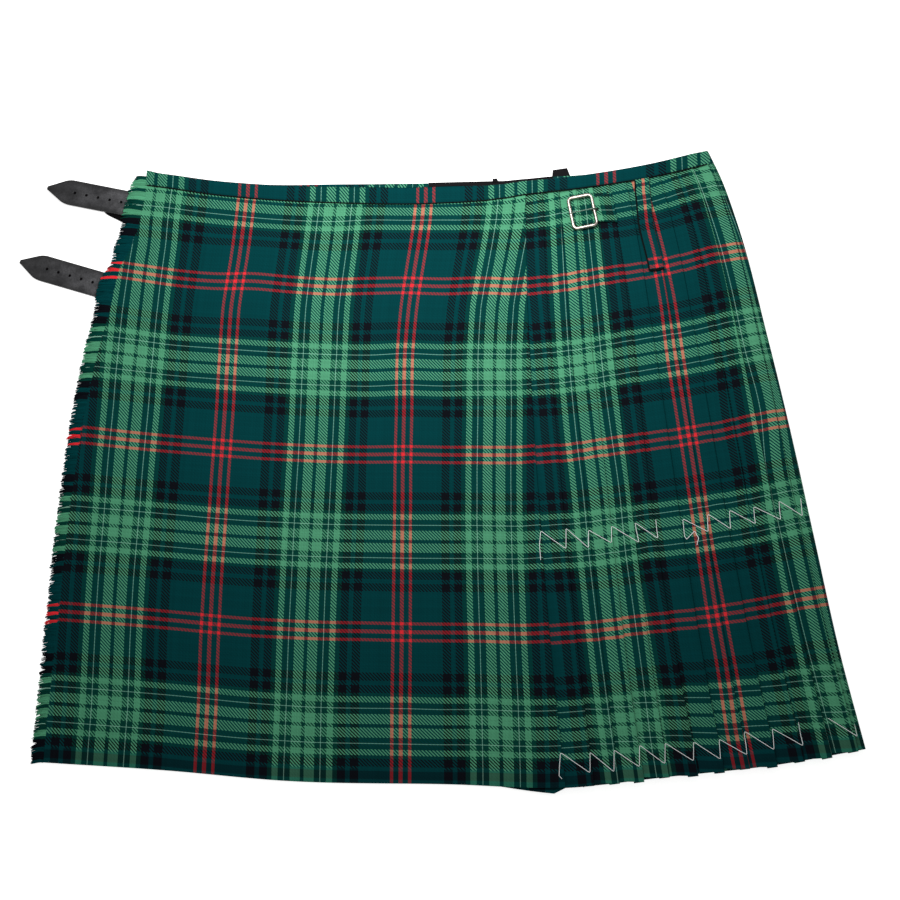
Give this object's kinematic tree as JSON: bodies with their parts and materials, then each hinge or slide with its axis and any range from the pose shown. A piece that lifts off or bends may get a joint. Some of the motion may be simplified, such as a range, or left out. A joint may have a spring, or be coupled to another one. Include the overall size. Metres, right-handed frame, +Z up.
{
  "type": "scottish kilt laid flat",
  "caption": "Tartan kilt laid flat and unbuckled: fringed over apron, knife pleats turned round one side, bound waist, leather straps, hip buckle and belt loop.",
  "frame": {"origin": "middle of the bounding box, on the surface that the kilt lies on", "axes": "+X towards the pleated side fold, +Y towards the waist, +Z up out of the over apron"},
  "size_m": [0.8264, 0.6534, 0.0173],
  "materials": {
    "tartan": "matte worsted wool in 2/2 twill, bottle green with black, light green, white and red lines",
    "black_leather": "smooth black leather, soft satin",
    "black_ribbon": "matte black ribbon",
    "buckle_metal": "polished nickel plate"
  },
  "bodies": {
    "kilt": {"over_apron": "tartan", "under_apron": "tartan", "front_pleats": "tartan", "back_pleats": "tartan", "front_waistband": "tartan", "back_waistband": "tartan", "fringe": "tartan", "belt_loop": "tartan", "buckle_tab": "tartan", "strap_upper": "black_leather", "strap_lower": "black_leather", "strap_under": "black_leather", "hanger_loop_middle": "black_ribbon", "hanger_loop_side": "black_ribbon"},
    "frame": {"buckle_frame": "buckle_metal"},
    "prong": {"buckle_prong": "buckle_metal"}
  },
  "joints": [
    {"name": "frame_hinge", "type": "hinge", "parent": "kilt", "child": "frame", "pos_m": [0.17282, 0.25696, 0.0139], "axis": [-0.1736, 0.9848, 0], "range_deg": [0, 80]},
    {"name": "prong_hinge", "type": "hinge", "parent": "frame", "child": "prong", "pos_m": [0.17282, 0.25696, 0.0139], "axis": [-0.1736, 0.9848, 0], "range_deg": [0, 60]}
  ]
}
